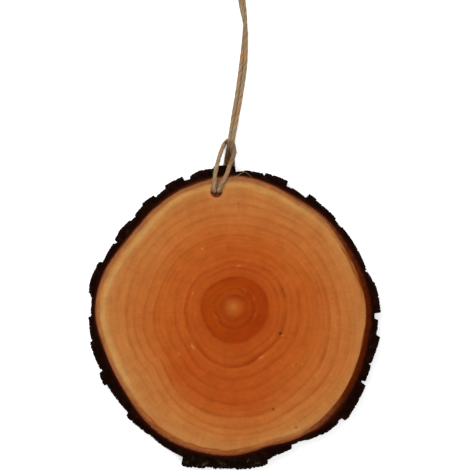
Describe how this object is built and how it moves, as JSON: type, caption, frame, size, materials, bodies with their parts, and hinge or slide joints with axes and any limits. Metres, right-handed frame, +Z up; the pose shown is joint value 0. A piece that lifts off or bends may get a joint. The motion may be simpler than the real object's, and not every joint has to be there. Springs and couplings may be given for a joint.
{
  "type": "wood slice",
  "caption": "Round sawn slice of a branch with dark rough bark, growth rings, and a hanging loop of jute twine hitched through a hole near its edge.",
  "frame": {"origin": "on the surface that the slice lies on, under the middle of the slice's own box, twine left out", "axes": "+Z up out of the front face, +Y from the middle towards the hanging hole, +X to the right when the hole is at the top"},
  "size_m": [0.1018, 0.179, 0.0134],
  "materials": {
    "sawn_wood": "sawn and sanded end grain, warm orange brown, lightly oiled",
    "bark": "rough blackish brown outer bark with a reddish brown inner band",
    "jute_twine": "twisted, slightly fuzzy, dull tan"
  },
  "bodies": {
    "root": {"wood": "sawn_wood", "bark": "bark", "twine": "jute_twine", "twine_knot": "jute_twine"}
  },
  "joints": []
}
